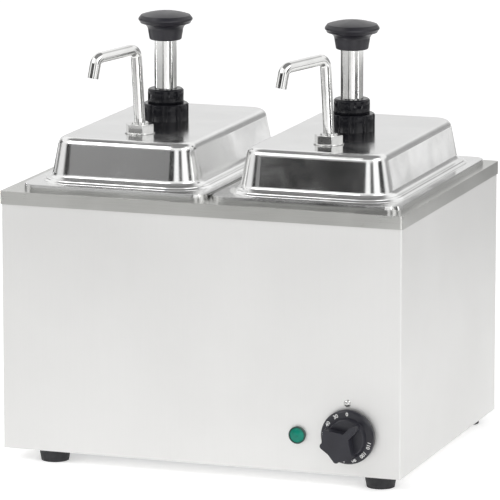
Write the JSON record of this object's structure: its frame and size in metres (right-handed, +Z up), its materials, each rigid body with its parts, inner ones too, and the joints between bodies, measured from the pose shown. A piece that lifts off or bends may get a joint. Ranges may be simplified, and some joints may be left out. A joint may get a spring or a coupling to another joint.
{
  "type": "nacho cheese dispenser",
  "caption": "Countertop heated water-bath cabinet with lift-out pans under domed lids, each with a hand pump and bent spout; dial thermostat and pilot lamp on the front.",
  "frame": {"origin": "centre of the footprint, on the surface the feet stand on", "axes": "+Z up; -Y is the front with the dial; +X is to the right seen from the front"},
  "size_m": [0.4024, 0.3612, 0.418],
  "materials": {
    "satin_sheet": "bright satin stainless sheet",
    "brushed_frame": "brushed stainless, grain along the rim",
    "plain_sheet": "plain mill-finish stainless sheet",
    "foot_rubber": "matt black rubber",
    "fastener_steel": "bright plated steel",
    "element_sheath": "dull oxidised element sheath",
    "thermostat_case": "cream heat-proof moulding",
    "copper": "bare copper",
    "lamp_green": "green translucent lens",
    "dark_plastic": "dark grey-black moulding",
    "wire_cover": "heat-proof wire covering",
    "polished_sheet": "mirror-polished stainless sheet",
    "tube_steel": "polished stainless tube",
    "valve_steel": "ground stainless balls and spring wire",
    "pump_plastic": "white food-grade plastic",
    "gloss_black": "gloss black moulding",
    "knob_black": "satin black moulding",
    "piston_black": "black seal rubber"
  },
  "bodies": {
    "cabinet": {"outer_casing": "satin_sheet", "top_frame": "brushed_frame", "water_tank": "plain_sheet", "bottom_plate": "plain_sheet", "front_left_foot": "foot_rubber", "front_right_foot": "foot_rubber", "rear_left_foot": "foot_rubber", "rear_right_foot": "foot_rubber", "foot_screws": "fastener_steel", "foot_nuts": "fastener_steel", "bottom_plate_screws": "fastener_steel", "heating_element": "element_sheath", "element_clamp_bars": "plain_sheet", "element_clamp_studs": "fastener_steel", "element_clamp_nuts": "fastener_steel", "thermostat_housing": "thermostat_case", "thermostat_screws": "fastener_steel", "capillary_tube": "copper", "sensor_bulb": "copper", "index_rivet": "fastener_steel", "pilot_lamp_lens": "lamp_green", "pilot_lamp_body": "dark_plastic", "cable_gland_body": "dark_plastic", "cable_gland_cap": "dark_plastic", "cable_gland_locknut": "dark_plastic", "terminal_block": "thermostat_case", "internal_wires": "wire_cover"},
    "dial": {"control_knob": "dark_plastic", "thermostat_shaft": "fastener_steel"},
    "left_pan_unit": {"left_pan": "polished_sheet"},
    "left_lid_unit": {"left_lid": "polished_sheet", "left_pump_cylinder": "tube_steel", "left_pump_foot": "pump_plastic", "left_delivery_pipe": "tube_steel", "left_lock_nut": "gloss_black", "left_cylinder_cap": "gloss_black", "left_spout": "tube_steel", "left_spout_nut": "tube_steel", "left_return_spring": "valve_steel"},
    "left_plunger": {"left_piston": "piston_black", "left_push_rod": "tube_steel", "left_push_knob": "knob_black"},
    "left_inlet_valve": {"left_inlet_ball": "valve_steel"},
    "left_outlet_valve": {"left_outlet_ball": "valve_steel"},
    "right_pan_unit": {"right_pan": "polished_sheet"},
    "right_lid_unit": {"right_lid": "polished_sheet", "right_pump_cylinder": "tube_steel", "right_pump_foot": "pump_plastic", "right_delivery_pipe": "tube_steel", "right_lock_nut": "gloss_black", "right_cylinder_cap": "gloss_black", "right_spout": "tube_steel", "right_spout_nut": "tube_steel", "right_return_spring": "valve_steel"},
    "right_plunger": {"right_piston": "piston_black", "right_push_rod": "tube_steel", "right_push_knob": "knob_black"},
    "right_inlet_valve": {"right_inlet_ball": "valve_steel"},
    "right_outlet_valve": {"right_outlet_ball": "valve_steel"}
  },
  "joints": [
    {"name": "dial_turn", "type": "hinge", "parent": "cabinet", "child": "dial", "pos_m": [0.1495, -0.157, 0.0505], "axis": [0, 1, 0], "range_deg": [0, 270]},
    {"name": "left_pan_lift", "type": "slide", "parent": "cabinet", "child": "left_pan_unit", "axis": [0, 0, 1], "range_m": [0, 0.16]},
    {"name": "left_lid_lift", "type": "slide", "parent": "left_pan_unit", "child": "left_lid_unit", "axis": [0, 0, 1], "range_m": [0, 0.15]},
    {"name": "left_pump_press", "type": "slide", "parent": "left_lid_unit", "child": "left_plunger", "axis": [0, 0, -1], "range_m": [0, 0.044], "stiffness_N_per_m": 250, "springref_m": -0.03, "deforming": ["left_return_spring"]},
    {"name": "left_inlet_ball_lift", "type": "slide", "parent": "left_lid_unit", "child": "left_inlet_valve", "axis": [0, 0, 1], "range_m": [0, 0.003]},
    {"name": "left_outlet_ball_lift", "type": "slide", "parent": "left_lid_unit", "child": "left_outlet_valve", "axis": [0, 0, 1], "range_m": [0, 0.003]},
    {"name": "right_pan_lift", "type": "slide", "parent": "cabinet", "child": "right_pan_unit", "axis": [0, 0, 1], "range_m": [0, 0.16]},
    {"name": "right_lid_lift", "type": "slide", "parent": "right_pan_unit", "child": "right_lid_unit", "axis": [0, 0, 1], "range_m": [0, 0.15]},
    {"name": "right_pump_press", "type": "slide", "parent": "right_lid_unit", "child": "right_plunger", "axis": [0, 0, -1], "range_m": [0, 0.044], "stiffness_N_per_m": 250, "springref_m": -0.03, "deforming": ["right_return_spring"]},
    {"name": "right_inlet_ball_lift", "type": "slide", "parent": "right_lid_unit", "child": "right_inlet_valve", "axis": [0, 0, 1], "range_m": [0, 0.003]},
    {"name": "right_outlet_ball_lift", "type": "slide", "parent": "right_lid_unit", "child": "right_outlet_valve", "axis": [0, 0, 1], "range_m": [0, 0.003]}
  ]
}
